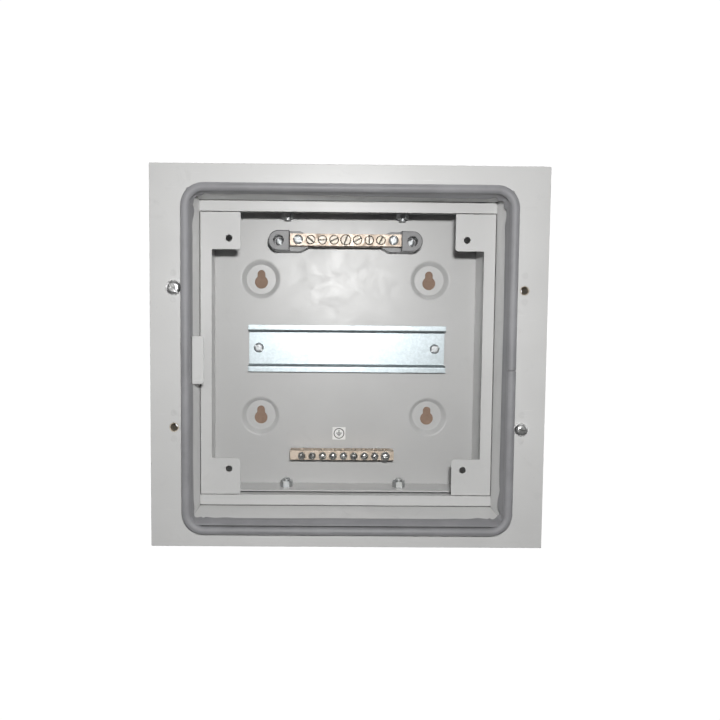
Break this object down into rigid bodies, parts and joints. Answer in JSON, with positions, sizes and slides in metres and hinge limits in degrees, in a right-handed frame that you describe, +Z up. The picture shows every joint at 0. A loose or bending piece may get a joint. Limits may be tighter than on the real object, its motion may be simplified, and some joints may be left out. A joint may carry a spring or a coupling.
{
  "type": "subpanel enclosure",
  "caption": "Open steel subpanel box with a wide front flange, rubber seal, top-hat rail, brass neutral and earth bars, keyhole feet and screwed cable entry plates.",
  "frame": {"origin": "centre of the four keyhole entries, on the plane of the wall that the pressed feet rest on", "axes": "+X to the right seen from the open front, +Y into the wall (the open front faces -Y), +Z up"},
  "size_m": [0.25, 0.097, 0.242],
  "materials": {
    "box_coating": "light grey powder coat, fine orange peel",
    "frame_coating": "light grey powder coat, fine orange peel, light handling marks",
    "keeper_zinc": "grey coated bent plate",
    "seal_rubber": "matt grey extruded rubber, darker thin flap",
    "entry_seal_rubber": "matt black sheet rubber",
    "rail_zinc": "bright zinc plating with faint drawn lines",
    "plated_hardware": "zinc plated steel",
    "terminal_screw_steel": "dull nickel plated slotted screws",
    "frame_screw_steel": "zinc plated slotted pan heads",
    "terminal_brass": "machined brass, lightly tarnished",
    "holder_plastic": "moulded dark grey insulating plastic",
    "label_print": "white adhesive label with a circled earth symbol"
  },
  "bodies": {
    "enclosure": {"body_shell": "box_coating", "left_side_panel": "box_coating", "right_side_panel": "box_coating", "front_frame": "frame_coating", "frame_nut_plates": "plated_hardware", "frame_gasket": "seal_rubber", "latch_keeper": "keeper_zinc", "din_rail": "rail_zinc", "din_rail_screws": "plated_hardware", "neutral_holder_left": "holder_plastic", "neutral_holder_right": "holder_plastic", "neutral_holder_screws": "plated_hardware", "neutral_bar": "terminal_brass", "neutral_bar_screws": "plated_hardware", "earth_bar": "terminal_brass", "earth_bar_posts": "plated_hardware", "earth_label": "label_print", "top_entry_seal": "entry_seal_rubber", "top_entry_plate": "box_coating", "bottom_entry_seal": "entry_seal_rubber", "bottom_entry_plate": "box_coating", "entry_plate_bolts": "plated_hardware", "entry_plate_nuts": "plated_hardware"},
    "neutral_screw_1": {"neutral_terminal_screw_1": "terminal_screw_steel"},
    "neutral_screw_2": {"neutral_terminal_screw_2": "terminal_screw_steel"},
    "neutral_screw_3": {"neutral_terminal_screw_3": "terminal_screw_steel"},
    "neutral_screw_4": {"neutral_terminal_screw_4": "terminal_screw_steel"},
    "neutral_screw_5": {"neutral_terminal_screw_5": "terminal_screw_steel"},
    "neutral_screw_6": {"neutral_terminal_screw_6": "terminal_screw_steel"},
    "neutral_screw_7": {"neutral_terminal_screw_7": "terminal_screw_steel"},
    "earth_screw_1": {"earth_terminal_screw_1": "terminal_screw_steel"},
    "earth_screw_2": {"earth_terminal_screw_2": "terminal_screw_steel"},
    "earth_screw_3": {"earth_terminal_screw_3": "terminal_screw_steel"},
    "earth_screw_4": {"earth_terminal_screw_4": "terminal_screw_steel"},
    "earth_screw_5": {"earth_terminal_screw_5": "terminal_screw_steel"},
    "earth_screw_6": {"earth_terminal_screw_6": "terminal_screw_steel"},
    "earth_screw_7": {"earth_terminal_screw_7": "terminal_screw_steel"},
    "earth_screw_8": {"earth_terminal_screw_8": "terminal_screw_steel"},
    "bonding_screw": {"earth_bonding_screw": "terminal_screw_steel"},
    "cover_screw_top_left": {"frame_screw_top_left": "frame_screw_steel"},
    "cover_screw_bottom_right": {"frame_screw_bottom_right": "frame_screw_steel"}
  },
  "joints": [
    {"name": "neutral_screw_1_travel", "type": "slide", "parent": "enclosure", "child": "neutral_screw_1", "axis": [0, -1, 0], "range_m": [-0.0033, 0.002]},
    {"name": "neutral_screw_2_travel", "type": "slide", "parent": "enclosure", "child": "neutral_screw_2", "axis": [0, -1, 0], "range_m": [-0.0033, 0.002]},
    {"name": "neutral_screw_3_travel", "type": "slide", "parent": "enclosure", "child": "neutral_screw_3", "axis": [0, -1, 0], "range_m": [-0.0033, 0.002]},
    {"name": "neutral_screw_4_travel", "type": "slide", "parent": "enclosure", "child": "neutral_screw_4", "axis": [0, -1, 0], "range_m": [-0.0033, 0.002]},
    {"name": "neutral_screw_5_travel", "type": "slide", "parent": "enclosure", "child": "neutral_screw_5", "axis": [0, -1, 0], "range_m": [-0.0033, 0.002]},
    {"name": "neutral_screw_6_travel", "type": "slide", "parent": "enclosure", "child": "neutral_screw_6", "axis": [0, -1, 0], "range_m": [-0.0033, 0.002]},
    {"name": "neutral_screw_7_travel", "type": "slide", "parent": "enclosure", "child": "neutral_screw_7", "axis": [0, -1, 0], "range_m": [-0.0033, 0.002]},
    {"name": "earth_screw_1_travel", "type": "slide", "parent": "enclosure", "child": "earth_screw_1", "axis": [0, -1, 0], "range_m": [-0.0013, 0.002]},
    {"name": "earth_screw_2_travel", "type": "slide", "parent": "enclosure", "child": "earth_screw_2", "axis": [0, -1, 0], "range_m": [-0.0013, 0.002]},
    {"name": "earth_screw_3_travel", "type": "slide", "parent": "enclosure", "child": "earth_screw_3", "axis": [0, -1, 0], "range_m": [-0.0013, 0.002]},
    {"name": "earth_screw_4_travel", "type": "slide", "parent": "enclosure", "child": "earth_screw_4", "axis": [0, -1, 0], "range_m": [-0.0013, 0.002]},
    {"name": "earth_screw_5_travel", "type": "slide", "parent": "enclosure", "child": "earth_screw_5", "axis": [0, -1, 0], "range_m": [-0.0013, 0.002]},
    {"name": "earth_screw_6_travel", "type": "slide", "parent": "enclosure", "child": "earth_screw_6", "axis": [0, -1, 0], "range_m": [-0.0013, 0.002]},
    {"name": "earth_screw_7_travel", "type": "slide", "parent": "enclosure", "child": "earth_screw_7", "axis": [0, -1, 0], "range_m": [-0.0013, 0.002]},
    {"name": "earth_screw_8_travel", "type": "slide", "parent": "enclosure", "child": "earth_screw_8", "axis": [0, -1, 0], "range_m": [-0.0013, 0.002]},
    {"name": "bonding_screw_travel", "type": "slide", "parent": "enclosure", "child": "bonding_screw", "axis": [0, -1, 0], "range_m": [-0.0013, 0.002]},
    {"name": "cover_screw_top_left_travel", "type": "slide", "parent": "enclosure", "child": "cover_screw_top_left", "axis": [0, -1, 0], "range_m": [0, 0.01]},
    {"name": "cover_screw_bottom_right_travel", "type": "slide", "parent": "enclosure", "child": "cover_screw_bottom_right", "axis": [0, -1, 0], "range_m": [0, 0.01]}
  ]
}
